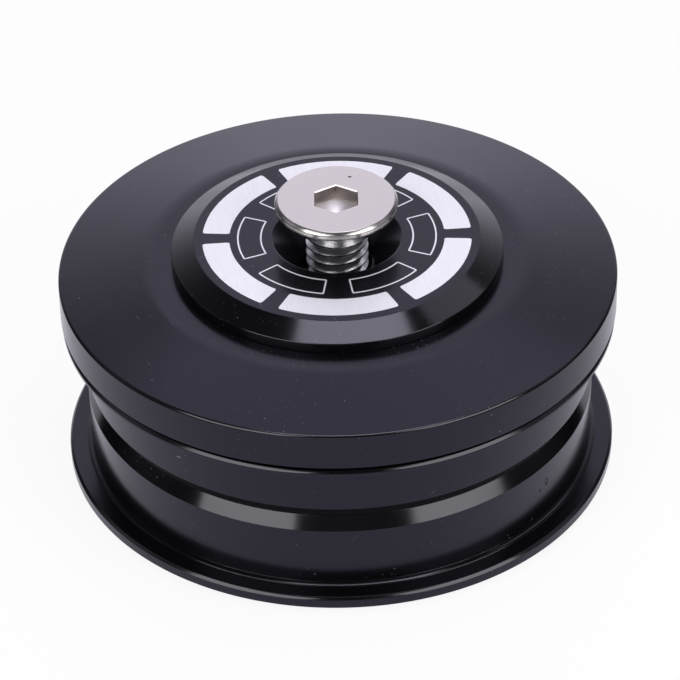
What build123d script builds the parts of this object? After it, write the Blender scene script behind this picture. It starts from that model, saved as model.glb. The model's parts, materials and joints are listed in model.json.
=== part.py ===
from build123d import *
from math import cos, radians, sin
import os

# Bicycle headset for a 1.5 inch head tube and a 1 1/8 inch steerer, stacked as it leaves the shelf.
# Millimetres, +Z up the steering axis, origin on the axis at the underside of the crown race.

# Fits on the bicycle
steerer_d = 28.6
steerer_wall = 1.6
crown_seat_step = 1.4

# Bearings, one size above and below
bearing_step = 0.5
bearing_section = 5.65
bearing_h = 6.5
seat_chamfer = 1.6
race_edge = 0.3
ball_d = 3.175
ball_count = 18
deep_shoulder_deg = 65
low_shoulder_deg = 30
cage_wall = 0.7
cage_rail = 0.4
shield_t = 0.6
shield_recess = 0.2

# Lower cup
flange_w = 2.2
flange_t = 1.15
flange_edge = 0.3
root_step_w = 0.45
root_step_h = 0.2
lower_recess = 1.4

# Both cups, 49.6 mm across their skirts for a 1.5 inch head tube
cup_wall = 3.85
lead_in_w = 0.8
lead_in_h = 1.35
end_web = 0.9
web_reach = 1.1
mouth_edge = 0.4

# Upper cup
lip_w = 2.1
lip_t = 0.6
lip_edge = 0.25
upper_recess = 0.05

# Crown race
crown_drop = 0.8
crown_foot_t = 0.5
crown_step_w = 0.7
crown_nose = 0.45
crown_lip_t = 1.0

# Compression ring
ring_reach = 2.35
ring_rise = 1.6
ring_nose = 0.3
ring_split = 2.0

# Dust cover
cover_lap = 0.1
cover_gap = 0.5
cover_rim_h = 3.7
cover_rise = 1.2
cover_wall = 1.6
cover_rim_wall = 1.8
cover_land_w = 1.4
cover_hub_lap = 0.6
cover_edge = 0.2
cord_d = 1.2
wiper_w = 2.0
wiper_t = 0.9
wiper_lip_t = 0.55

# Top cap
cap_lap = 1.5
cap_side_h = 1.05
cap_bevel_w = 2.2
cap_bevel_h = 1.1
cap_edge = 0.2
cap_spigot_h = 1.8
cap_sink_w = 0.35

# Top cap bolt, M6 countersunk
bolt_d = 6.0
bolt_len = 20.0
bolt_raise = 4.35
head_d = 11.8
head_rim = 0.8
head_edge = 0.3
hex_af = 4.0
hex_depth = 2.4
tip_edge = 0.7

# Star nut
star_core_wall = 1.3
star_core_h = 10.5
star_leaf_t = 0.8
star_leaf_rise = 1.6
star_leaf_root = 2.6
star_leaf_bite = 0.4
star_leaf_count = 8
star_slot_w = 3.0
star_top_drop = 2.6
star_bottom_lift = 0.6
star_gap = 1.3

# Clearances
bearing_fit = 0.05
seat_gap = 0.03
ball_gap = 0.1
shield_fit = 0.03
run_gap = 0.3
under_race_gap = 0.2
crown_gap = 0.35
crown_rim_gap = 0.85
steerer_fit = 0.05
ring_nose_gap = 0.1
cover_fit = 0.2
seal_fit = 0.03
spigot_gap = 0.2
hole_gap = 0.3
thread_gap = 0.1

# Radii, from the steerer outwards
steerer_r = steerer_d / 2
steerer_bore_r = steerer_r - steerer_wall
crown_seat_r = steerer_r + crown_seat_step / 2
inner_race_r = crown_seat_r + bearing_step / 2
outer_race_r = inner_race_r + bearing_section
pitch_r = (outer_race_r + inner_race_r) / 2
ball_r = ball_d / 2
groove_r = ball_r + ball_gap
seat_shift = seat_gap * 2 ** 0.5
pocket_bore_r = outer_race_r + bearing_fit
seat_end_r = outer_race_r - seat_chamfer - under_race_gap + seat_shift
web_hole_r = seat_end_r - web_reach
crown_foot_r = pocket_bore_r - crown_rim_gap
skirt_r = pocket_bore_r + cup_wall
flange_r = skirt_r + flange_w
lip_r = skirt_r + lip_w
cover_r = lip_r + cover_lap
rim_inner_r = cover_r - cover_rim_wall
cover_bore_r = steerer_r + cover_fit
ring_r = inner_race_r + ring_reach
cap_r = cover_bore_r + cap_lap
bolt_r = bolt_d / 2
head_r = head_d / 2
countersink_r = head_r + cap_sink_w
cap_hole_r = bolt_r + hole_gap
thread_bore_r = bolt_r + thread_gap
star_core_r = thread_bore_r + star_core_wall
star_r = steerer_bore_r + star_leaf_bite

# Heights, from the crown race up to the head of the bolt
z_flange = crown_drop
z_lower_bearing = z_flange + lower_recess
z_joint = z_lower_bearing + bearing_h + end_web
z_bearing = z_joint + end_web
z_bearing_top = z_bearing + bearing_h
z_lip_top = z_bearing_top + upper_recess
z_ring_top = z_bearing_top + ring_rise
z_rim = z_lip_top + cover_gap
z_rim_top = z_rim + cover_rim_h
z_ceiling = z_rim_top - cover_wall
z_cover = z_rim_top + cover_rise
z_cap_top = z_cover + cap_side_h + cap_bevel_h
z_head = z_cap_top + bolt_raise
z_star_top = z_cover - cap_spigot_h - star_gap

# The two bearings and both cup pockets mirror each other about this plane
joint_plane = Plane.XY.offset(z_joint)


# Turns a closed section, given as radius and height, about the steering axis
def turned(*section):
    with BuildSketch(Plane.XZ) as half:
        with BuildLine():
            Polyline(*section, close=True)
        make_face()
    revolve(half.sketch, axis=Axis.Z)


# Upper cup: pocket with a 45 degree seat, lip on top, tapered lead-in below
with BuildPart() as upper_cup:
    z_seat_end = z_bearing - under_race_gap
    z_seat_start = z_seat_end + pocket_bore_r - seat_end_r
    turned(
        (web_hole_r, z_joint),
        (skirt_r - lead_in_w, z_joint),
        (skirt_r, z_joint + lead_in_h),
        (skirt_r, z_lip_top - lip_t),
        (lip_r, z_lip_top - lip_t),
        (lip_r, z_lip_top - lip_edge),
        (lip_r - lip_edge, z_lip_top),
        (pocket_bore_r + mouth_edge, z_lip_top),
        (pocket_bore_r, z_lip_top - mouth_edge),
        (pocket_bore_r, z_seat_start),
        (seat_end_r, z_seat_end),
        (web_hole_r, z_seat_end),
    )

# Lower cup: the same pocket turned over, on a broad bottom flange
with BuildPart() as lower_cup:
    z_seat_end = 2 * z_joint - z_bearing + under_race_gap
    z_seat_start = z_seat_end - pocket_bore_r + seat_end_r
    z_face = z_flange + flange_t
    turned(
        (web_hole_r, z_joint),
        (skirt_r - lead_in_w, z_joint),
        (skirt_r, z_joint - lead_in_h),
        (skirt_r, z_face + root_step_h),
        (skirt_r + root_step_w, z_face + root_step_h),
        (skirt_r + root_step_w, z_face),
        (flange_r - flange_edge, z_face),
        (flange_r, z_face - flange_edge),
        (flange_r, z_flange),
        (pocket_bore_r + mouth_edge, z_flange),
        (pocket_bore_r, z_flange + mouth_edge),
        (pocket_bore_r, z_seat_start),
        (seat_end_r, z_seat_end),
        (web_hole_r, z_seat_end),
    )

# Angular contact groove: the deep shoulder takes the load, the low one lets the balls in
z_balls = z_bearing + bearing_h / 2
deep_r = groove_r * cos(radians(deep_shoulder_deg))
deep_h = groove_r * sin(radians(deep_shoulder_deg))
low_r = groove_r * cos(radians(low_shoulder_deg))
low_h = groove_r * sin(radians(low_shoulder_deg))

# Outer race: 45 degree seat at its lower outside corner
with BuildPart() as upper_outer_race:
    with BuildSketch(Plane.XZ):
        with BuildLine():
            Polyline(
                (pitch_r + deep_r, z_balls - deep_h),
                (pitch_r + deep_r, z_bearing),
                (outer_race_r - seat_chamfer, z_bearing),
                (outer_race_r, z_bearing + seat_chamfer),
                (outer_race_r, z_bearing_top - race_edge),
                (outer_race_r - race_edge, z_bearing_top),
                (pitch_r + low_r, z_bearing_top),
                (pitch_r + low_r, z_balls + low_h),
            )
            ThreePointArc(
                (pitch_r + low_r, z_balls + low_h),
                (pitch_r + groove_r, z_balls),
                (pitch_r + deep_r, z_balls - deep_h),
            )
        make_face()
    revolve(axis=Axis.Z)

# Inner race: 45 degree seat at its upper inside corner
with BuildPart() as upper_inner_race:
    with BuildSketch(Plane.XZ):
        with BuildLine():
            Polyline(
                (pitch_r - deep_r, z_balls + deep_h),
                (pitch_r - deep_r, z_bearing_top),
                (inner_race_r + seat_chamfer, z_bearing_top),
                (inner_race_r, z_bearing_top - seat_chamfer),
                (inner_race_r, z_bearing + race_edge),
                (inner_race_r + race_edge, z_bearing),
                (pitch_r - low_r, z_bearing),
                (pitch_r - low_r, z_balls - low_h),
            )
            ThreePointArc(
                (pitch_r - low_r, z_balls - low_h),
                (pitch_r - groove_r, z_balls),
                (pitch_r - deep_r, z_balls + deep_h),
            )
        make_face()
    revolve(axis=Axis.Z)

with BuildPart() as upper_balls:
    with Locations(Plane.XY.offset(z_balls)):
        with PolarLocations(pitch_r, ball_count):
            Sphere(ball_r)

# Ball cage: a ring with a round pocket for each ball
with BuildPart() as upper_ball_cage:
    cage_half_h = groove_r + cage_rail
    turned(
        (pitch_r - cage_wall / 2, z_balls - cage_half_h),
        (pitch_r + cage_wall / 2, z_balls - cage_half_h),
        (pitch_r + cage_wall / 2, z_balls + cage_half_h),
        (pitch_r - cage_wall / 2, z_balls + cage_half_h),
    )
    with Locations(Plane.XY.offset(z_balls)):
        with PolarLocations(pitch_r, ball_count):
            Cylinder(groove_r, 2 * cage_wall, rotation=(0, 90, 0), mode=Mode.SUBTRACT)

# Rubber shields close the bearing above and below the balls
with BuildPart() as upper_top_shield:
    z_shield = z_bearing_top - shield_recess
    turned(
        (pitch_r - deep_r + run_gap, z_shield - shield_t),
        (pitch_r + low_r - shield_fit, z_shield - shield_t),
        (pitch_r + low_r - shield_fit, z_shield),
        (pitch_r - deep_r + run_gap, z_shield),
    )

with BuildPart() as upper_bottom_shield:
    z_shield = z_bearing + shield_recess
    turned(
        (pitch_r - low_r + run_gap, z_shield),
        (pitch_r + deep_r - shield_fit, z_shield),
        (pitch_r + deep_r - shield_fit, z_shield + shield_t),
        (pitch_r - low_r + run_gap, z_shield + shield_t),
    )

# The lower bearing is the upper one turned over
with BuildPart() as lower_outer_race:
    mirror(upper_outer_race.part, about=joint_plane)

with BuildPart() as lower_inner_race:
    mirror(upper_inner_race.part, about=joint_plane)

with BuildPart() as lower_balls:
    mirror(upper_balls.part, about=joint_plane)

with BuildPart() as lower_ball_cage:
    mirror(upper_ball_cage.part, about=joint_plane)

with BuildPart() as lower_top_shield:
    mirror(upper_bottom_shield.part, about=joint_plane)

with BuildPart() as lower_bottom_shield:
    mirror(upper_top_shield.part, about=joint_plane)

# Crown race: a 45 degree cone that carries the lower bearing, on a stepped foot
with BuildPart() as crown_race:
    z_shelf = z_lower_bearing - crown_gap
    z_nose = z_lower_bearing + seat_chamfer - crown_nose
    cone_base_r = inner_race_r + seat_chamfer + crown_gap - seat_shift
    cone_top_r = inner_race_r + crown_nose - seat_shift
    turned(
        (crown_seat_r, 0),
        (crown_foot_r, 0),
        (crown_foot_r, crown_foot_t),
        (crown_foot_r - crown_step_w, crown_foot_t),
        (crown_foot_r - crown_step_w, z_shelf),
        (cone_base_r, z_shelf),
        (cone_top_r, z_nose),
        (crown_seat_r, z_nose),
    )

# Crown seal: a rubber ring on the foot's step, just clear of the lower cup's bore
with BuildPart() as crown_seal:
    crown_step_r = crown_foot_r - crown_step_w + seal_fit
    crown_lip_r = pocket_bore_r - run_gap
    turned(
        (crown_step_r, crown_foot_t),
        (crown_foot_r, crown_foot_t),
        (crown_lip_r, crown_foot_t + crown_lip_t / 2),
        (crown_lip_r, crown_foot_t + crown_lip_t),
        (crown_step_r, crown_foot_t + crown_lip_t),
    )

# Compression ring: a split wedge between the steerer and the upper inner race
with BuildPart() as compression_ring:
    ring_bore_r = steerer_r + steerer_fit
    ring_nose_r = inner_race_r - ring_nose_gap
    z_cone = z_bearing_top - seat_chamfer - inner_race_r + seat_shift
    turned(
        (ring_bore_r, z_cone + ring_nose_r - ring_nose),
        (ring_nose_r, z_cone + ring_nose_r - ring_nose),
        (ring_nose_r, z_cone + ring_nose_r),
        (ring_r, z_cone + ring_r),
        (ring_r, z_ring_top),
        (ring_bore_r, z_ring_top),
    )
    with Locations((0, ring_r, z_ring_top)):
        Box(ring_split, 2 * ring_r, 4 * ring_rise, mode=Mode.SUBTRACT)

# Dust cover: a shallow cone with a deep rim, a flat land for the stem and a hub on the ring
with BuildPart() as dust_cover:
    turned(
        (cover_bore_r, z_ring_top),
        (ring_r + cover_hub_lap, z_ring_top),
        (ring_r + cover_hub_lap, z_ceiling),
        (rim_inner_r, z_ceiling),
        (rim_inner_r, z_rim),
        (cover_r - cover_edge, z_rim),
        (cover_r, z_rim + cover_edge),
        (cover_r, z_rim_top - cover_edge),
        (cover_r - cover_edge, z_rim_top),
        (cover_bore_r + cover_land_w, z_cover),
        (cover_bore_r + cover_edge, z_cover),
        (cover_bore_r, z_cover - cover_edge),
    )
    z_cord = (z_ring_top + z_cover) / 2
    groove_half_h = cord_d / 2 + seal_fit
    groove_floor_r = steerer_r + cord_d
    with BuildSketch(Plane.XZ):
        with Locations(((cover_bore_r + groove_floor_r) / 2, z_cord)):
            Rectangle(groove_floor_r - cover_bore_r, 2 * groove_half_h)
    revolve(axis=Axis.Z, mode=Mode.SUBTRACT)

# O-ring in the cover's bore
with BuildPart() as cover_o_ring:
    with Locations((0, 0, z_cord)):
        Torus(groove_floor_r - seal_fit - cord_d / 2, cord_d / 2)

# Wiper seal in the corner of the cover, its lip just over the upper cup
with BuildPart() as cover_wiper:
    wiper_r = rim_inner_r - seal_fit
    z_wiper = z_ceiling - wiper_t
    z_wipe = z_lip_top + run_gap
    turned(
        (wiper_r - wiper_w, z_wiper),
        (wiper_r - 2 * wiper_lip_t, z_wiper),
        (wiper_r - wiper_lip_t, z_wipe),
        (wiper_r, z_wipe),
        (wiper_r, z_ceiling),
        (wiper_r - wiper_w, z_ceiling),
    )

# Top cap: bevelled disc, spigot below, countersunk hole
with BuildPart() as top_cap:
    spigot_r = steerer_bore_r - spigot_gap
    turned(
        (cap_hole_r, z_cover - cap_spigot_h),
        (spigot_r - cap_edge, z_cover - cap_spigot_h),
        (spigot_r, z_cover - cap_spigot_h + cap_edge),
        (spigot_r, z_cover),
        (cap_r - cap_edge, z_cover),
        (cap_r, z_cover + cap_edge),
        (cap_r, z_cover + cap_side_h),
        (cap_r - cap_bevel_w, z_cap_top),
        (countersink_r, z_cap_top),
        (cap_hole_r, z_cap_top - countersink_r + cap_hole_r),
    )

# Bolt: countersunk head with a hexagon socket, standing proud of the cap
with BuildPart() as top_cap_bolt:
    z_tip = z_head - bolt_len
    z_neck = z_head - head_rim - (head_r - bolt_r)
    turned(
        (0, z_tip),
        (bolt_r - tip_edge, z_tip),
        (bolt_r, z_tip + tip_edge),
        (bolt_r, z_neck),
        (head_r, z_head - head_rim),
        (head_r, z_head - head_edge),
        (head_r - head_edge, z_head),
        (0, z_head),
    )
    with BuildSketch(Plane.XY.offset(z_head)):
        RegularPolygon(hex_af / 2, 6, major_radius=False, rotation=30)
    extrude(amount=-hex_depth, mode=Mode.SUBTRACT)

# Star nut: a threaded core and two rows of spring leaves that grip the inside of a steerer
with BuildPart() as star_nut_core:
    turned(
        (thread_bore_r, z_star_top - star_core_h),
        (star_core_r, z_star_top - star_core_h),
        (star_core_r, z_star_top),
        (thread_bore_r, z_star_top),
    )


# A dished washer cut into leaves, seated on the core at the given height
def leaves(z_hub):
    hub_r = star_core_r + seal_fit
    turned(
        (hub_r, z_hub),
        (star_r, z_hub + star_leaf_rise),
        (star_r, z_hub + star_leaf_rise + star_leaf_t),
        (hub_r, z_hub + star_leaf_t),
    )
    with BuildSketch(Plane.XY.offset(z_hub)) as slots:
        with PolarLocations(star_core_r + star_leaf_root, star_leaf_count):
            Rectangle(star_r, star_slot_w, align=(Align.MIN, Align.CENTER))
    extrude(slots.sketch, amount=star_leaf_rise + star_leaf_t, mode=Mode.SUBTRACT)


with BuildPart() as star_nut_upper_leaves:
    leaves(z_star_top - star_top_drop)

with BuildPart() as star_nut_lower_leaves:
    leaves(z_star_top - star_core_h + star_bottom_lift)

# One file for each piece
pieces = {
    "lower_cup": lower_cup,
    "upper_cup": upper_cup,
    "upper_outer_race": upper_outer_race,
    "upper_inner_race": upper_inner_race,
    "upper_balls": upper_balls,
    "upper_ball_cage": upper_ball_cage,
    "upper_top_shield": upper_top_shield,
    "upper_bottom_shield": upper_bottom_shield,
    "lower_outer_race": lower_outer_race,
    "lower_inner_race": lower_inner_race,
    "lower_balls": lower_balls,
    "lower_ball_cage": lower_ball_cage,
    "lower_top_shield": lower_top_shield,
    "lower_bottom_shield": lower_bottom_shield,
    "crown_race": crown_race,
    "crown_seal": crown_seal,
    "compression_ring": compression_ring,
    "dust_cover": dust_cover,
    "cover_o_ring": cover_o_ring,
    "cover_wiper": cover_wiper,
    "top_cap": top_cap,
    "top_cap_bolt": top_cap_bolt,
    "star_nut_core": star_nut_core,
    "star_nut_upper_leaves": star_nut_upper_leaves,
    "star_nut_lower_leaves": star_nut_lower_leaves,
}
os.makedirs("parts", exist_ok=True)
for label, piece in pieces.items():
    piece.part.label = label
    export_step(piece.part, f"parts/{label}.step")
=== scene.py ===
import json
import math
import bpy
from mathutils import Euler, Matrix, Vector


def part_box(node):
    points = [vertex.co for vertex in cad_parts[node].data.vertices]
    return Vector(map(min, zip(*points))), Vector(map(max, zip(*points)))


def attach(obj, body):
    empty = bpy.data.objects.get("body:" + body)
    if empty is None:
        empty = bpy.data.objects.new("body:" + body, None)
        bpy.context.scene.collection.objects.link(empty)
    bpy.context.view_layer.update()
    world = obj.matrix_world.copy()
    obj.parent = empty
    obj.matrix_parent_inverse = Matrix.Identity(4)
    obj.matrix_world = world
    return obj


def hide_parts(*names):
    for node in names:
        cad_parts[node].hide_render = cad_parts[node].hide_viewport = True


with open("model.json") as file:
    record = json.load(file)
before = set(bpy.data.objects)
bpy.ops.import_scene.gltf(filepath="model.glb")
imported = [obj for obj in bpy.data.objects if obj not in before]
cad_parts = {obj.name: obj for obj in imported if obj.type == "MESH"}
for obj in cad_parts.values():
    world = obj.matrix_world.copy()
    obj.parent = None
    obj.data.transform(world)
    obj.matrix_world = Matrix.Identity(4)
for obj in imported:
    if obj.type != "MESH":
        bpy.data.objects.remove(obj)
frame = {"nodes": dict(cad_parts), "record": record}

for spare in ("Cube", "Camera", "Light"):  # Blender's own start-up objects
    if spare in bpy.data.objects:
        bpy.data.objects.remove(bpy.data.objects[spare])
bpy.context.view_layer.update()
nodes = frame["nodes"]
mm = 0.001  # the scene is in metres, sizes below are in millimetres
print("frame loaded:", len(nodes), "nodes")


# Helpers for materials

def hexToLinear(code):
    channels = [int(code[i:i + 2], 16) / 255 for i in (1, 3, 5)]
    return [c / 12.92 if c <= 0.04045 else ((c + 0.055) / 1.055) ** 2.4 for c in channels] + [1.0]


def addNode(tree, kind, settings=None, inputs=None):
    node = tree.nodes.new(kind)
    for name, value in (settings or {}).items():
        setattr(node, name, value)
    for name, value in (inputs or {}).items():
        if isinstance(value, bpy.types.NodeSocket):
            tree.links.new(value, node.inputs[name])
        else:
            node.inputs[name].default_value = value
    return node


def startMaterial(name):
    material = bpy.data.materials.new(name)
    material.use_nodes = True
    tree = material.node_tree
    tree.nodes.clear()
    return material, tree


def endMaterial(tree, inputs):
    shader = addNode(tree, "ShaderNodeBsdfPrincipled", inputs=inputs)
    addNode(tree, "ShaderNodeOutputMaterial", inputs={"Surface": shader.outputs[0]})


def perMm(size):  # noise scale that gives features of this many millimetres
    return 1 / (size * mm)


noiseSpan = {"From Min": 0.3, "From Max": 0.7}  # where most noise values fall
spotFade = {"From Min": 0.6, "From Max": 1.1, "To Min": 1.0, "To Max": 0.0}  # in shares of a spot's reach


def turningRings(tree, place, pitch):
    # Rings left by the lathe tool: noise that varies only with radius and height
    axes = addNode(tree, "ShaderNodeSeparateXYZ", inputs={0: place})
    flat = addNode(tree, "ShaderNodeCombineXYZ", inputs={0: axes.outputs[0], 1: axes.outputs[1]})
    radius = addNode(tree, "ShaderNodeVectorMath", {"operation": "LENGTH"}, {0: flat.outputs[0]})
    along = addNode(tree, "ShaderNodeCombineXYZ", inputs={0: radius.outputs["Value"], 1: axes.outputs[2]})
    return addNode(tree, "ShaderNodeTexNoise", {"noise_dimensions": "2D"},
                   {"Vector": along.outputs[0], "Scale": perMm(pitch), "Detail": 2.0}).outputs[0]


def spotMask(tree, place, spot):
    # One inside a small oval spot, fading out at its rim
    offset = addNode(tree, "ShaderNodeVectorMath", {"operation": "SUBTRACT"}, {
        0: place, 1: [c * mm for c in spot["at"]]}).outputs[0]
    scaled = addNode(tree, "ShaderNodeVectorMath", {"operation": "DIVIDE"}, {
        0: offset, 1: [c * mm for c in spot["reach"]]}).outputs[0]
    away = addNode(tree, "ShaderNodeVectorMath", {"operation": "LENGTH"}, {0: scaled}).outputs["Value"]
    return addNode(tree, "ShaderNodeMapRange", inputs={"Value": away, **spotFade}).outputs[0]


# Black anodised aluminium: dyed oxide over turned metal, near black, glossy enough to mirror the room softly.
# Walls and faces are satin with hazy patches, bevels and tapers bright from a fine finishing cut, undercuts dull
# and rough, with a low specular level that is painted shade on them.
# All carry lathe rings, pale dust specks and short hair scratches, drawn broad enough to show. The skirts also have
# a nick and oil drops.
blackAnodisedLook = {
    "colour": "#09090b", "markColour": "#6a686e", "patchSize": 7.0,
    "speckSize": 0.24, "speckRange": (0.735, 0.79), "clusterSize": 6.0, "clusterRange": (0.48, 0.66),
    "scratchWidth": 0.08, "scratchLength": 1.8, "scratchTilt": 35, "scratchTurns": (28, -47),
    "scratchRange": (0.88, 0.95), "scratchPale": 0.6,
    "nick": {"at": (-15.26, -19.55, 13.43), "reach": (0.3, 0.3, 0.09)},
    "oilHigh": 0.06,
    "oilSpots": ({"at": (19.53, -15.29, 6.15), "reach": (0.26, 0.26, 0.45)},
                 {"at": (18.89, -16.07, 5.60), "reach": (0.16, 0.16, 0.16)}),
}
blackFinishes = {  # ring pitch and depth in mm
    "satin": {"specular": 0.37, "tint": "#dfddff", "roughness": 0.20, "haze": 0.03,
              "ringPitch": 0.14, "ringDepth": 0.0006},
    "bright": {"specular": 0.6, "tint": "#f8f6ff", "roughness": 0.13, "haze": 0.03,
               "ringPitch": 0.10, "ringDepth": 0.0014},
    # dull: rougher, and its low specular level is painted shade on downward slopes
    "dull": {"specular": 0.10, "tint": "#e8e6ff", "roughness": 0.38, "haze": 0.05,
             "ringPitch": 0.20, "ringDepth": 0.0010},
}


def blackAnodised(finish):
    look, cut = blackAnodisedLook, blackFinishes[finish]
    material, tree = startMaterial("black anodised aluminium " + finish)
    place = addNode(tree, "ShaderNodeTexCoord").outputs["Object"]
    rings = turningRings(tree, place, cut["ringPitch"])
    patches = addNode(tree, "ShaderNodeTexNoise", inputs={
        "Vector": place, "Scale": perMm(look["patchSize"]), "Detail": 3.0}).outputs[0]
    specks = addNode(tree, "ShaderNodeTexNoise", inputs={
        "Vector": place, "Scale": perMm(look["speckSize"]), "Detail": 1.0}).outputs[0]
    specks = addNode(tree, "ShaderNodeMapRange", inputs={
        "Value": specks, "From Min": look["speckRange"][0], "From Max": look["speckRange"][1]}).outputs[0]
    clusters = addNode(tree, "ShaderNodeTexNoise", inputs={
        "Vector": place, "Scale": perMm(look["clusterSize"]), "Detail": 1.0}).outputs[0]
    clusters = addNode(tree, "ShaderNodeMapRange", inputs={
        "Value": clusters, "From Min": look["clusterRange"][0], "From Max": look["clusterRange"][1]}).outputs[0]
    marks = addNode(tree, "ShaderNodeMath", {"operation": "MULTIPLY"}, {0: specks, 1: clusters}).outputs[0]
    for angle in look["scratchTurns"]:
        turned = addNode(tree, "ShaderNodeMapping", {"vector_type": "TEXTURE"}, {
            "Vector": place, "Rotation": (0.0, math.radians(look["scratchTilt"]), math.radians(angle)),
            "Scale": (look["scratchWidth"] * mm, look["scratchLength"] * mm, look["scratchLength"] * mm)})
        hairs = addNode(tree, "ShaderNodeTexNoise", inputs={
            "Vector": turned.outputs[0], "Scale": 1.0, "Detail": 0.0}).outputs[0]
        hairs = addNode(tree, "ShaderNodeMapRange", inputs={
            "Value": hairs, "From Min": look["scratchRange"][0], "From Max": look["scratchRange"][1],
            "To Max": look["scratchPale"]}).outputs[0]
        marks = addNode(tree, "ShaderNodeMath", {"operation": "MAXIMUM"}, {0: marks, 1: hairs}).outputs[0]
    nick = spotMask(tree, place, look["nick"])
    marks = addNode(tree, "ShaderNodeMath", {"operation": "MAXIMUM"}, {0: marks, 1: nick}).outputs[0]
    colour = addNode(tree, "ShaderNodeMix", {"data_type": "RGBA"}, {
        0: marks, 6: hexToLinear(look["colour"]), 7: hexToLinear(look["markColour"])}).outputs[2]
    oil = [spotMask(tree, place, spot) for spot in look["oilSpots"]]
    oil = addNode(tree, "ShaderNodeMath", {"operation": "MAXIMUM"}, {0: oil[0], 1: oil[1]}).outputs[0]
    roughness = addNode(tree, "ShaderNodeMapRange", inputs={
        "Value": patches, **noiseSpan,
        "To Min": cut["roughness"] - cut["haze"], "To Max": cut["roughness"] + cut["haze"]}).outputs[0]
    bump = addNode(tree, "ShaderNodeBump", inputs={
        "Height": rings, "Strength": 1.0, "Distance": cut["ringDepth"] * mm}).outputs[0]
    bump = addNode(tree, "ShaderNodeBump", inputs={
        "Height": oil, "Strength": 1.0, "Distance": look["oilHigh"] * mm, "Normal": bump}).outputs[0]
    endMaterial(tree, {"Base Color": colour, "Roughness": roughness, "Normal": bump,
                       "Specular IOR Level": cut["specular"], "Specular Tint": hexToLinear(cut["tint"])})
    return material


# Bare metals differ in colour, polish and the lathe or grinding rings on them, which are finer on real ground or
# plated steel and drawn this coarse to show. Each has its name, colour, roughness, and the pitch and depth of its
# rings in mm.
metalLooks = {
    "bearing_steel": ("ground bearing steel", "#b4b5b8", 0.22, 0.08, 0.0008),
    "ball_steel": ("polished bearing balls", "#d3d4d7", 0.07, 0.20, 0.0001),
    "zinc_steel": ("bright zinc plated steel", "#b7bac1", 0.32, 0.25, 0.0012),
    "ring_aluminium": ("turned aluminium", "#c6c7ca", 0.30, 0.12, 0.0014),
    "bolt_steel": ("satin nickel plated steel", "#d0cbc8", 0.21, 0.10, 0.0003),
    "bolt_thread": ("rolled nickel plated steel", "#e0dfe1", 0.24, 0.10, 0.0003),
    # The socket's floor and walls are the bolt's one plated steel: the floor's pale colour is a painted highlight,
    # the walls' dark colour painted shade in the recess
    "socket_floor_painted_highlight": ("nickel plated steel with painted highlight", "#efebe9", 0.42, 0.30, 0.0010),
    "socket_wall_painted_shade": ("nickel plated steel with painted shade", "#938b89", 0.30, 0.20, 0.0010),
}
handlingClouds = {"size": 2.5, "detail": 5.0, "grain": 0.85, "darkest": 0.86, "roughSpread": 0.15}
headNick = {"at": (1.35, 3.66, 28.95), "reach": (0.22, 0.14, 0.2), "colour": "#3b3836"}


def bareMetal(slot):
    # Mirror colour from the metal itself, grey cloudiness from oil and handling
    cloud = handlingClouds
    name, code, rough, pitch, depth = metalLooks[slot]
    material, tree = startMaterial(name)
    place = addNode(tree, "ShaderNodeTexCoord").outputs["Object"]
    rings = turningRings(tree, place, pitch)
    clouds = addNode(tree, "ShaderNodeTexNoise", inputs={
        "Vector": place, "Scale": perMm(cloud["size"]), "Detail": cloud["detail"],
        "Roughness": cloud["grain"]}).outputs[0]
    clean = hexToLinear(code)
    colour = addNode(tree, "ShaderNodeMix", {"data_type": "RGBA"}, {
        0: clouds, 6: clean, 7: [c * cloud["darkest"] for c in clean[:3]] + [1.0]}).outputs[2]
    if slot == "bolt_steel":
        colour = addNode(tree, "ShaderNodeMix", {"data_type": "RGBA"}, {
            0: spotMask(tree, place, headNick), 6: colour, 7: hexToLinear(headNick["colour"])}).outputs[2]
    roughness = addNode(tree, "ShaderNodeMapRange", inputs={
        "Value": clouds, **noiseSpan,
        "To Min": rough * (1 - cloud["roughSpread"]), "To Max": rough * (1 + cloud["roughSpread"])}).outputs[0]
    bump = addNode(tree, "ShaderNodeBump", inputs={
        "Height": rings, "Strength": 1.0, "Distance": depth * mm}).outputs[0]
    endMaterial(tree, {"Base Color": colour, "Roughness": roughness, "Normal": bump, "Metallic": 1.0})
    return material


# Moulded black parts: dull, with a grain from the mould that is finer on real ones and drawn this coarse to show.
# Each has its name, dark and pale colour, roughness, and the size of its grain in mm.
mouldedLooks = {
    "cage_nylon": ("moulded nylon", "#25221f", "#322e2a", 0.48, 0.25),
    "shield_rubber": ("moulded nitrile rubber shield", "#151516", "#1f1f20", 0.58, 0.15),
    "seal_rubber": ("moulded nitrile rubber seal", "#121212", "#1c1c1c", 0.66, 0.18),
}
mouldGrain = {"depth": 0.004, "roughSpread": 0.06}


def mouldedBlack(slot):
    name, dark, pale, rough, grain = mouldedLooks[slot]
    material, tree = startMaterial(name)
    place = addNode(tree, "ShaderNodeTexCoord").outputs["Object"]
    speckle = addNode(tree, "ShaderNodeTexNoise", inputs={
        "Vector": place, "Scale": perMm(grain), "Detail": 3.0}).outputs[0]
    colour = addNode(tree, "ShaderNodeMix", {"data_type": "RGBA"}, {
        0: speckle, 6: hexToLinear(dark), 7: hexToLinear(pale)}).outputs[2]
    roughness = addNode(tree, "ShaderNodeMapRange", inputs={
        "Value": speckle, **noiseSpan,
        "To Min": rough - mouldGrain["roughSpread"], "To Max": rough + mouldGrain["roughSpread"]}).outputs[0]
    bump = addNode(tree, "ShaderNodeBump", inputs={
        "Height": speckle, "Strength": 1.0, "Distance": mouldGrain["depth"] * mm}).outputs[0]
    endMaterial(tree, {"Base Color": colour, "Roughness": roughness, "Normal": bump})
    return material


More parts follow.
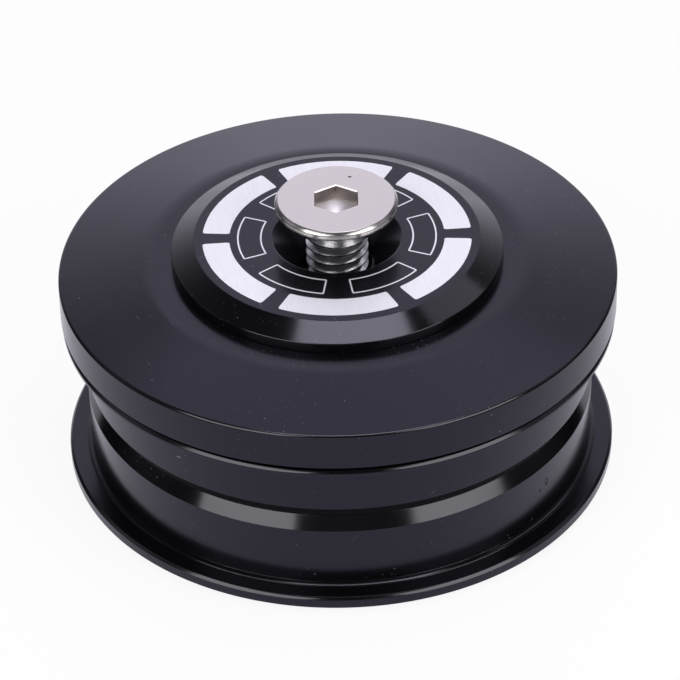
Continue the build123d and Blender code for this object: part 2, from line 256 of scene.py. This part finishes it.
# Bare aluminium where the black was lasered away: pale, frosted, with fine brush lines across the cap, a little
# broader than real ones so that they show
etchedLook = {"pale": "#f2f2f4", "dull": "#e2e2e5", "metallic": 0.55, "roughness": 0.46, "roughSpread": 0.08,
              "brushWidth": 0.10, "brushLength": 2.2, "brushTurn": 12, "brushDepth": 0.002}


def etchedAluminium():
    look = etchedLook
    material, tree = startMaterial("laser etched aluminium")
    place = addNode(tree, "ShaderNodeTexCoord").outputs["Object"]
    brushed = addNode(tree, "ShaderNodeMapping", {"vector_type": "TEXTURE"}, {
        "Vector": place, "Rotation": (0.0, 0.0, math.radians(look["brushTurn"])),
        "Scale": (look["brushWidth"] * mm, look["brushLength"] * mm, look["brushLength"] * mm)})
    brush = addNode(tree, "ShaderNodeTexNoise", inputs={
        "Vector": brushed.outputs[0], "Scale": 1.0, "Detail": 3.0}).outputs[0]
    colour = addNode(tree, "ShaderNodeMix", {"data_type": "RGBA"}, {
        0: brush, 6: hexToLinear(look["pale"]), 7: hexToLinear(look["dull"])}).outputs[2]
    roughness = addNode(tree, "ShaderNodeMapRange", inputs={
        "Value": brush, **noiseSpan,
        "To Min": look["roughness"] - look["roughSpread"],
        "To Max": look["roughness"] + look["roughSpread"]}).outputs[0]
    bump = addNode(tree, "ShaderNodeBump", inputs={
        "Height": brush, "Strength": 1.0, "Distance": look["brushDepth"] * mm}).outputs[0]
    endMaterial(tree, {"Base Color": colour, "Roughness": roughness, "Normal": bump, "Metallic": look["metallic"]})
    return material


blackFinish = [blackAnodised(finish) for finish in blackFinishes]  # satin, bright, dull
materials = {"black_anodised": blackFinish[0]}
for slot in metalLooks:
    materials[slot] = bareMetal(slot)
for slot in mouldedLooks:
    materials[slot] = mouldedBlack(slot)
etched = etchedAluminium()
for subpart in frame["record"]["subparts"]:
    nodes[subpart["node"]].material_slots[0].material = materials[subpart["material_slot"]]
print("materials made:", len({*materials.values(), *blackFinish, etched}))


# Helpers for modelling
latheSetup = {"steps": 256, "weld": 0.002, "sharpAngle": 20, "smoothAngle": 30, "segments": 3}


def newPiece(name):
    piece = bpy.context.object
    piece.name = name
    piece.data.name = name
    return piece


def finishPiece(piece, body, slot, *finishes):
    bpy.ops.object.mode_set(mode="OBJECT")
    bpy.ops.object.shade_smooth_by_angle(angle=math.radians(latheSetup["smoothAngle"]))
    weighted = piece.modifiers.new("weightedNormals", "WEIGHTED_NORMAL")  # keeps faces flat beside rounded edges
    weighted.keep_sharp = True
    bpy.ops.object.modifier_apply(modifier="weightedNormals")
    piece.data.materials.clear()
    for finish in finishes:
        piece.data.materials.append(finish)
    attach(piece, body)
    print("modelled", piece.name, len(piece.data.polygons), "faces")


def extrudeBy(across, up):  # in millimetres, out from the steering axis and along it
    bpy.ops.mesh.extrude_region_move(TRANSFORM_OT_translate={"value": (across * mm, 0, up * mm)})


def scaleAcross(share):  # about the steering axis
    bpy.ops.transform.resize(value=(share, share, 1), center_override=(0, 0, 0))


def drawSection(name, section):
    # Draws a line through (radius, height) points, beginning from one point
    bpy.ops.object.select_all(action="DESELECT")
    bpy.ops.mesh.primitive_plane_add(size=mm)
    piece = newPiece(name)
    bpy.ops.object.mode_set(mode="EDIT")
    bpy.ops.mesh.select_mode(type="VERT")
    bpy.ops.mesh.merge(type="CENTER")
    bpy.ops.transform.translate(value=(section[0][0] * mm, 0, section[0][1] * mm))
    for (r0, z0), (r1, z1) in zip(section, section[1:]):
        extrudeBy(r1 - r0, z1 - z0)
    return piece


def latheTurn(name, section, rounding, steps=latheSetup["steps"]):
    # Closes a section unless it starts on the steering axis, spins it about that axis and breaks its corners
    piece = drawSection(name, section)
    if section[0][0] > 0:
        bpy.ops.mesh.select_all(action="SELECT")
        bpy.ops.mesh.edge_face_add()
        bpy.ops.mesh.delete(type="ONLY_FACE")
    bpy.ops.mesh.select_all(action="SELECT")
    bpy.ops.mesh.spin(steps=steps, angle=2 * math.pi, center=(0, 0, 0), axis=(0, 0, 1))
    bpy.ops.mesh.select_all(action="SELECT")
    bpy.ops.mesh.remove_doubles(threshold=latheSetup["weld"] * mm)
    bpy.ops.mesh.normals_make_consistent(inside=False)
    bpy.ops.mesh.select_all(action="DESELECT")
    bpy.ops.mesh.select_mode(type="EDGE")
    bpy.ops.mesh.edges_select_sharp(sharpness=math.radians(latheSetup["sharpAngle"]))
    bpy.ops.mesh.bevel(offset=rounding * mm, segments=latheSetup["segments"], affect="EDGES", clamp_overlap=True)
    bpy.ops.object.mode_set(mode="OBJECT")
    return piece


slopeSpan = (0.2, 0.97)  # how far a slope's normal points up or down, between a wall's 0 and a flat face's 1


def finishSlopes(piece, beyond=0.0):
    # Beyond a radius, slopes and broken corners take the bright finish where they face up, the dull one where down,
    # whose low specular is painted shade
    for face in piece.data.polygons:
        if slopeSpan[0] < abs(face.normal.z) < slopeSpan[1] and face.center.xy.length > beyond * mm:
            face.material_index = 1 if face.normal.z > 0 else 2


def span(node):  # outer radius, bottom and top of a turned node, in millimetres
    low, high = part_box(node)
    return high.x / mm, low.z / mm, high.z / mm


# Both cups: bearing pocket with a 45 degree seat, skirt with a tapered lead-in
cupSizes = {"skirt": 24.8, "leadWide": 0.8, "leadHigh": 1.35, "bore": 20.95, "mouth": 0.4,
            "seatEnd": 19.14, "web": 0.7, "hole": 18.04, "rounding": 0.03}
size = cupSizes
seatRun = size["bore"] - size["seatEnd"]

# Upper cup: a thin chamfered lip on top
lipSizes = {"thick": 0.6, "edge": 0.25}
radius, low, high = span("upper_cup")
seatEnd = low + size["web"]
upperCup = latheTurn("turnedUpperCup", [
    (size["hole"], low), (size["skirt"] - size["leadWide"], low), (size["skirt"], low + size["leadHigh"]),
    (size["skirt"], high - lipSizes["thick"]), (radius, high - lipSizes["thick"]),
    (radius, high - lipSizes["edge"]), (radius - lipSizes["edge"], high),
    (size["bore"] + size["mouth"], high), (size["bore"], high - size["mouth"]),
    (size["bore"], seatEnd + seatRun), (size["seatEnd"], seatEnd), (size["hole"], seatEnd),
], size["rounding"])
finishPiece(upperCup, "cups", "black_anodised", *blackFinish)
finishSlopes(upperCup)
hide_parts("upper_cup")

# Lower cup: a broad chamfered flange below, with a small step at the root of the skirt
flangeSizes = {"thick": 1.15, "edge": 0.25, "stepWide": 0.45, "stepHigh": 0.2,
               "slopeWide": 0.25, "slopeHigh": 0.12}
radius, low, high = span("lower_cup")
flangeTop = low + flangeSizes["thick"]
step = size["skirt"] + flangeSizes["stepWide"]
stepTop = flangeTop + flangeSizes["stepHigh"]
seatEnd = high - size["web"]
lowerCup = latheTurn("turnedLowerCup", [
    (size["hole"], high), (size["skirt"] - size["leadWide"], high), (size["skirt"], high - size["leadHigh"]),
    (size["skirt"], stepTop), (step - flangeSizes["slopeWide"], stepTop),
    (step, stepTop - flangeSizes["slopeHigh"]), (step, flangeTop),
    (radius - flangeSizes["edge"], flangeTop), (radius, flangeTop - flangeSizes["edge"]), (radius, low),
    (size["bore"] + size["mouth"], low), (size["bore"], low + size["mouth"]),
    (size["bore"], seatEnd - seatRun), (size["seatEnd"], seatEnd), (size["hole"], seatEnd),
], size["rounding"])
finishPiece(lowerCup, "cups", "black_anodised", *blackFinish)
finishSlopes(lowerCup)
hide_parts("lower_cup")

# Dust cover: shallow cone with a soft knee round a flat land for the stem, rolled edge, deep rim, hub below
coverSizes = {"rise": 1.2, "wall": 1.6, "rimWall": 1.8, "bore": 14.5, "land": 3.1, "knee": 1.6, "hub": 18.2,
              "edge": 0.3, "edgeStep": 9, "rounding": 0.03}
size = coverSizes
radius, low, high = span("dust_cover")
ringTop = span("compression_ring")[2]
rimTop = high - size["rise"]
ceiling = rimTop - size["wall"]
rolled = [(radius - size["edge"] + size["edge"] * math.cos(math.radians(t)),
           rimTop - size["edge"] + size["edge"] * math.sin(math.radians(t)))
          for t in range(0, 91, size["edgeStep"])]
land = size["bore"] + size["land"]
slope = size["rise"] / (radius - size["edge"] - land - size["knee"] / 2)
knee = [(land + size["knee"] * t, high - slope * size["knee"] * t * t / 2) for t in (1, 0.8, 0.6, 0.4, 0.2, 0)]
cover = latheTurn("turnedDustCover", [
    (size["bore"], ringTop), (size["hub"], ringTop), (size["hub"], ceiling), (radius - size["rimWall"], ceiling),
    (radius - size["rimWall"], low), (radius, low), *rolled, *knee, (size["bore"], high),
], size["rounding"])
finishPiece(cover, "steering_group", "black_anodised", *blackFinish)
finishSlopes(cover)
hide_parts("dust_cover")

# Top cap: bevelled disc with a spigot below and a countersunk hole
capSizes = {"side": 1.05, "bevel": 2.2, "spigot": 12.5, "hole": 3.3, "countersink": 6.25, "sinkRim": 0.2,
            "rounding": 0.07}
size = capSizes
radius, low, capTop = span("top_cap")
foot = span("dust_cover")[2]
cap = latheTurn("turnedTopCap", [
    (size["hole"], low), (size["spigot"], low), (size["spigot"], foot), (radius, foot),
    (radius, foot + size["side"]), (radius - size["bevel"], capTop), (size["countersink"], capTop),
    (size["hole"], capTop - size["countersink"] + size["hole"]),
], size["rounding"])
finishPiece(cap, "steering_group", "black_anodised", *blackFinish)
finishSlopes(cap, size["countersink"] + size["sinkRim"])
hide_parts("top_cap")


def ringBlocks(name, size):
    # A flat ring between two radii on the cap's face, parted into equal blocks with rounded corners
    bpy.ops.object.select_all(action="DESELECT")
    bpy.ops.mesh.primitive_circle_add(vertices=size["count"] * size["facets"], radius=size["outer"] * mm,
                                      fill_type="NGON", location=(0, 0, capTop * mm))
    piece = newPiece(name)
    bpy.ops.object.transform_apply(location=True, rotation=False, scale=False)
    bpy.ops.object.mode_set(mode="EDIT")
    bpy.ops.mesh.select_mode(type="FACE")
    bpy.ops.mesh.select_all(action="SELECT")
    bpy.ops.mesh.inset(thickness=(size["outer"] - size["inner"]) * mm)
    bpy.ops.mesh.delete(type="FACE")
    bpy.ops.object.mode_set(mode="OBJECT")
    pitch = 360 / size["count"]
    for face in piece.data.polygons:
        angle = math.degrees(math.atan2(face.center.y, face.center.x)) - size["turn"]
        face.select = (angle % pitch) > pitch - size["gap"]
    bpy.ops.object.mode_set(mode="EDIT")
    bpy.ops.mesh.delete(type="FACE")
    bpy.ops.mesh.select_mode(type="VERT")
    bpy.ops.object.mode_set(mode="OBJECT")
    linked = {}
    for edge in piece.data.edges:
        for corner in edge.vertices:
            linked[corner] = linked.get(corner, 0) + 1
    for point in piece.data.vertices:
        point.select = linked[point.index] == 2
    bpy.ops.object.mode_set(mode="EDIT")
    bpy.ops.mesh.bevel(offset=size["corner"] * mm, segments=size["segments"], affect="VERTICES")
    return piece


def thickenPrint(piece, thick):
    # Gives a flat print its thickness, half of it below the cap's face
    bpy.ops.object.mode_set(mode="OBJECT")
    solid = piece.modifiers.new("thickness", "SOLIDIFY")
    solid.thickness = thick * mm
    solid.offset = 0.0
    bpy.ops.object.modifier_apply(modifier="thickness")


# Print on the cap: silver blocks round the edge, with fine outlines of smaller blocks inside them
blockSizes = {"count": 6, "turn": 4, "outer": 12.95, "inner": 10.35, "facets": 60, "gap": 8.0, "corner": 0.35,
              "segments": 4, "thick": 0.03}
blocks = ringBlocks("capPrintBlocks", blockSizes)
thickenPrint(blocks, blockSizes["thick"])
finishPiece(blocks, "steering_group", "ring_aluminium", etched)

outlineSizes = {"count": 6, "turn": 38, "outer": 9.6, "inner": 7.25, "facets": 60, "gap": 16.0, "corner": 0.3,
                "segments": 4, "line": 0.15, "thick": 0.03}
outlines = ringBlocks("capPrintOutlines", outlineSizes)
bpy.ops.mesh.select_mode(type="FACE")
bpy.ops.mesh.select_all(action="SELECT")
bpy.ops.mesh.inset(thickness=outlineSizes["line"] * mm)
bpy.ops.mesh.delete(type="FACE")
thickenPrint(outlines, outlineSizes["thick"])
finishPiece(outlines, "steering_group", "ring_aluminium", etched)

# Bolt: turned blank with a countersunk head, its thread cut by a screw form, a drilled hexagon socket in its head
boltSizes = {"head": 5.9, "rim": 0.8, "headEdge": 0.3, "shank": 3.0, "root": 2.39, "pitch": 1.0, "crest": 0.125,
             "rootFlat": 0.17, "tipEdge": 0.7, "acrossFlats": 4.0, "socketDeep": 1.5, "socketEdge": 0.1,
             "drill": 1.95, "drillPoint": 0.9, "drillTip": 0.2, "rounding": 0.05, "steps": 144}
size = boltSizes
low, high = span("top_cap_bolt")[1:]
neck = high - size["rim"] - size["head"] + size["shank"]
bolt = latheTurn("threadedBolt", [
    (0, low), (size["shank"] - size["tipEdge"], low), (size["shank"], low + size["tipEdge"]),
    (size["shank"], neck), (size["head"], high - size["rim"]), (size["head"], high - size["headEdge"]),
    (size["head"] - size["headEdge"], high), (0, high),
], size["rounding"], size["steps"])

# Screw form: a thread that starts below the tip, cut off there and at the neck and widened round the head
screwSetup = {"below": 2, "spareTurns": 4, "steps": 48, "weld": 0.001, "cutSlack": 0.0001, "crestClear": 0.02,
              "tipClear": 0.5, "neckClear": 0.12, "headSpread": 3, "headClear": 1}
setup = screwSetup
turns = math.ceil((neck - low) / size["pitch"]) + setup["spareTurns"]
crestStart = size["rootFlat"] + (size["pitch"] - size["crest"] - size["rootFlat"]) / 2
profile = [(0, 0), (0, size["rootFlat"]), (1, crestStart), (1, crestStart + size["crest"]), (0, size["pitch"])]
depth = size["shank"] + setup["crestClear"] - size["root"]
profile = [(size["root"] + out * depth, low - setup["below"] + up) for out, up in profile]
screwForm = drawSection("screwForm", profile)
bpy.ops.object.mode_set(mode="OBJECT")
screw = screwForm.modifiers.new("thread", "SCREW")
screw.axis = "Z"
screw.screw_offset = size["pitch"] * mm
screw.iterations = turns
screw.steps = screw.render_steps = setup["steps"]
bpy.ops.object.modifier_apply(modifier="thread")
bpy.ops.object.mode_set(mode="EDIT")
bpy.ops.mesh.select_all(action="SELECT")
bpy.ops.mesh.remove_doubles(threshold=setup["weld"] * mm)
bpy.ops.mesh.bisect(plane_co=(0, 0, (low - setup["tipClear"]) * mm), plane_no=(0, 0, 1), use_fill=True,
                    clear_inner=True, threshold=setup["cutSlack"] * mm)
bpy.ops.mesh.select_all(action="SELECT")
bpy.ops.mesh.bisect(plane_co=(0, 0, (neck + setup["neckClear"]) * mm), plane_no=(0, 0, 1), use_fill=True,
                    clear_outer=True, threshold=setup["cutSlack"] * mm)
extrudeBy(0, 0)
scaleAcross(setup["headSpread"])
extrudeBy(0, high - neck + setup["headClear"])
bpy.ops.mesh.select_all(action="SELECT")
bpy.ops.mesh.normals_make_consistent(inside=False)
bpy.ops.object.mode_set(mode="OBJECT")

bpy.ops.object.select_all(action="DESELECT")
bpy.context.view_layer.objects.active = bolt
bolt.select_set(True)
cut = bolt.modifiers.new("threadCut", "BOOLEAN")
cut.operation = "INTERSECT"
cut.solver = "EXACT"
cut.object = screwForm
bpy.ops.object.modifier_apply(modifier="threadCut")
bpy.data.objects.remove(screwForm)

# Hexagon socket: the head's face is opened, joined to a hexagon and sunk, with a drilled point at the bottom
socketSetup = {"cuts": 23, "sink": 1, "near": 0.01, "meanShare": 1.0528, "faceClear": 0.12, "floorTilt": 0.3}
setup = socketSetup
sink, near = setup["sink"], setup["near"]
corner = size["acrossFlats"] / math.cos(math.radians(30)) / 2
mouth = corner + size["socketEdge"]
meanRadius = size["acrossFlats"] / 2 * setup["meanShare"]  # of points spread evenly along the hexagon
bpy.ops.object.mode_set(mode="EDIT")
bpy.ops.mesh.select_mode(type="VERT")
bpy.ops.mesh.select_all(action="DESELECT")
bpy.ops.object.mode_set(mode="OBJECT")
for point in bolt.data.vertices:
    point.select = point.co.z > (high - near) * mm and point.co.xy.length < near * mm
bpy.ops.object.mode_set(mode="EDIT")
bpy.ops.mesh.delete(type="VERT")
bpy.ops.mesh.primitive_circle_add(vertices=6, radius=mouth * mm, location=(0, 0, (high - sink) * mm))
bpy.ops.mesh.subdivide(number_cuts=setup["cuts"])
bpy.ops.mesh.select_mode(type="EDGE")
bpy.ops.mesh.select_non_manifold(extend=False)
bpy.ops.mesh.bridge_edge_loops()
bpy.ops.mesh.select_all(action="DESELECT")
bpy.ops.object.mode_set(mode="OBJECT")
for edge in bolt.data.edges:
    ends = [bolt.data.vertices[i].co for i in edge.vertices]
    edge.select = all(end.z > (high - sink - near) * mm and end.xy.length < (mouth + near) * mm for end in ends)
bpy.ops.object.mode_set(mode="EDIT")
bpy.ops.transform.translate(value=(0, 0, sink * mm))
extrudeBy(0, -size["socketEdge"])
scaleAcross(corner / mouth)
extrudeBy(0, size["socketEdge"] - size["socketDeep"])
extrudeBy(0, 0)
bpy.ops.transform.tosphere(value=1.0)
scaleAcross(size["drill"] / meanRadius)
tip = size["drillTip"] / size["drill"]
extrudeBy(0, -size["drillPoint"] * (1 - tip))
scaleAcross(tip)
extrudeBy(0, -size["drillPoint"] * tip)
bpy.ops.mesh.merge(type="CENTER")
bpy.ops.mesh.select_all(action="SELECT")
bpy.ops.mesh.normals_make_consistent(inside=False)
finishPiece(bolt, "bolt", "bolt_steel", materials["bolt_steel"], materials["socket_floor_painted_highlight"],
            materials["socket_wall_painted_shade"], materials["bolt_thread"])
for face in bolt.data.polygons:  # thread and cone below the rim, then the socket's floor, paler as a painted highlight, and its walls, darker as painted shade
    if face.center.z < (high - size["rim"]) * mm:
        face.material_index = 3
    if neck < face.center.z / mm < high - setup["faceClear"] and face.center.xy.length < corner * mm:
        face.material_index = 1 if face.normal.z > setup["floorTilt"] else 2
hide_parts("top_cap_bolt")

# Camera where the photograph was taken from
cameraSetup = {"place": (0.075, -283.911, 222.586), "down": 36.546, "pan": 0.0, "roll": -1.251, "lens": 190.6,
               "sensor": 36.0, "nearest": 10}
setup = cameraSetup
lens = bpy.data.cameras.new("camera")
lens.lens = setup["lens"]
lens.sensor_width = setup["sensor"]
lens.clip_start = setup["nearest"] * mm
camera = bpy.data.objects.new("camera", lens)
bpy.context.scene.collection.objects.link(camera)
aim = Euler((math.radians(90 - setup["down"]), 0, math.radians(-setup["pan"])), "XYZ").to_matrix().to_4x4()
turn = Matrix.Rotation(math.radians(setup["roll"]), 4, "Z")
camera.matrix_world = Matrix.Translation(Vector(setup["place"]) * mm) @ aim @ turn
bpy.context.scene.camera = camera

# White sheet on a dark table: it shows pure white to the camera and still takes the object's shadow
floorSetup = {"size": 5000, "sheet": "#f8f8f8", "glow": "#f6f3ff", "table": "#101010", "white": 0.9,
              "sheetEdge": (52, 66), "widening": 0.45}
bpy.ops.object.select_all(action="DESELECT")
bpy.ops.mesh.primitive_plane_add(size=floorSetup["size"] * mm)
floor = newPiece("floor")
material, tree = startMaterial("white table")
place = addNode(tree, "ShaderNodeTexCoord").outputs["Object"]
axes = addNode(tree, "ShaderNodeSeparateXYZ", inputs={0: place}).outputs
sideways = addNode(tree, "ShaderNodeMath", {"operation": "ABSOLUTE"}, {0: axes[0]}).outputs[0]
behind = addNode(tree, "ShaderNodeMath", {"operation": "MAXIMUM"}, {0: axes[1], 1: 0.0}).outputs[0]
sideways = addNode(tree, "ShaderNodeMath", {"operation": "MULTIPLY_ADD"}, {
    0: behind, 1: -floorSetup["widening"], 2: sideways}).outputs[0]
sheet = addNode(tree, "ShaderNodeMapRange", {"interpolation_type": "SMOOTHSTEP"}, {
    "Value": sideways, "From Min": floorSetup["sheetEdge"][0] * mm, "From Max": floorSetup["sheetEdge"][1] * mm,
    "To Min": 1.0, "To Max": 0.0}).outputs[0]
colour = addNode(tree, "ShaderNodeMix", {"data_type": "RGBA"}, {
    0: sheet, 6: hexToLinear(floorSetup["table"]), 7: hexToLinear(floorSetup["sheet"])}).outputs[2]
ray = addNode(tree, "ShaderNodeLightPath").outputs
seen = addNode(tree, "ShaderNodeMath", {"operation": "MULTIPLY"}, {0: ray["Is Glossy Ray"], 1: sheet}).outputs[0]
for kind in ("Is Transmission Ray", "Is Camera Ray"):
    seen = addNode(tree, "ShaderNodeMath", {"operation": "MAXIMUM"}, {0: seen, 1: ray[kind]}).outputs[0]
white = addNode(tree, "ShaderNodeMapRange", inputs={"Value": sheet, "To Min": 1.0, "To Max": floorSetup["white"]})
share = addNode(tree, "ShaderNodeMath", {"operation": "MULTIPLY"}, {0: seen, 1: white.outputs[0]})
matt = addNode(tree, "ShaderNodeBsdfDiffuse", inputs={"Color": colour})
tone = addNode(tree, "ShaderNodeMix", {"data_type": "RGBA"}, {
    0: ray["Is Camera Ray"], 6: hexToLinear(floorSetup["glow"]), 7: (1, 1, 1, 1)}).outputs[2]
glow = addNode(tree, "ShaderNodeEmission", inputs={"Color": tone, "Strength": 1.0})
mixed = addNode(tree, "ShaderNodeMixShader", inputs={0: share.outputs[0], 1: matt.outputs[0], 2: glow.outputs[0]})
addNode(tree, "ShaderNodeOutputMaterial", inputs={"Surface": mixed.outputs[0]})
floor.data.materials.append(material)


def towards(place):  # direction from the object, by degrees round from the front and degrees up
    around, up = math.radians(place["round"]), math.radians(place["up"])
    return Vector((math.sin(around) * math.cos(up), -math.cos(around) * math.cos(up), math.sin(up)))


# Soft boxes, all at one distance, with their sizes in mm
lampAway = 600
lampSetup = {
    "leftBox": {"round": -40.5, "up": 32, "wide": 428, "high": 430, "level": 3.3, "colour": "#ffffff"},
    "rightBox": {"round": 49.5, "up": 32, "wide": 425, "high": 430, "level": 3.3, "colour": "#ffffff"},
    "overhead": {"round": 90, "up": 86.2, "wide": 300, "high": 350, "level": 3.8, "colour": "#f3f0ff"},
    "topFill": {"round": 158, "up": 58, "wide": 600, "high": 270, "level": 0.92, "colour": "#f3f0ff"},
}
for name, lamp in lampSetup.items():
    light = bpy.data.lights.new(name, "AREA")
    light.shape = "RECTANGLE"
    light.color = hexToLinear(lamp["colour"])[:3]
    light.size = lamp["wide"] * mm
    light.size_y = lamp["high"] * mm
    light.energy = lamp["level"] * math.pi * light.size * light.size_y  # level 1 looks white
    box = bpy.data.objects.new(name, light)
    bpy.context.scene.collection.objects.link(box)
    box.location = towards(lamp) * lampAway * mm
    box.rotation_euler = towards(lamp).to_track_quat("Z", "Y").to_euler()

# Room: a pale back wall and dim light at both sides and in front, each fading out from its middle, and white where
# the camera sees past the table
roomSetup = {"dark": 0.03, "colour": "#f3f0ff", "walls": (
    {"round": 179, "up": 12, "level": 1.79, "fade": 6.5}, {"round": 95, "up": 27, "level": 0.42, "fade": 30},
    {"round": -95, "up": 27, "level": 0.42, "fade": 30}, {"round": 0, "up": 4, "level": 0.3, "fade": 30})}
world = bpy.data.worlds.new("studio")
bpy.context.scene.world = world
world.use_nodes = True
tree = world.node_tree
tree.nodes.clear()
direction = addNode(tree, "ShaderNodeTexCoord").outputs["Generated"]
level = roomSetup["dark"]
for wall in roomSetup["walls"]:
    facing = addNode(tree, "ShaderNodeVectorMath", {"operation": "DOT_PRODUCT"}, {
        0: direction, 1: towards(wall)}).outputs["Value"]
    facing = addNode(tree, "ShaderNodeMath", {"operation": "MAXIMUM"}, {0: facing, 1: 0.0}).outputs[0]
    fade = addNode(tree, "ShaderNodeMath", {"operation": "POWER"}, {0: facing, 1: wall["fade"]}).outputs[0]
    level = addNode(tree, "ShaderNodeMath", {"operation": "MULTIPLY_ADD"}, {
        0: fade, 1: wall["level"], 2: level}).outputs[0]
ray = addNode(tree, "ShaderNodeLightPath").outputs
seen = addNode(tree, "ShaderNodeMath", {"operation": "MAXIMUM"}, {
    0: ray["Is Camera Ray"], 1: ray["Is Transmission Ray"]}).outputs[0]
level = addNode(tree, "ShaderNodeMath", {"operation": "MAXIMUM"}, {0: level, 1: seen}).outputs[0]
colour = addNode(tree, "ShaderNodeMix", {"data_type": "RGBA"}, {
    0: seen, 6: hexToLinear(roomSetup["colour"]), 7: (1, 1, 1, 1)}).outputs[2]
back = addNode(tree, "ShaderNodeBackground", inputs={"Color": colour, "Strength": level})
addNode(tree, "ShaderNodeOutputWorld", inputs={"Surface": back.outputs[0]})
bpy.context.scene.view_settings.view_transform = "Standard"
print("studio set up")
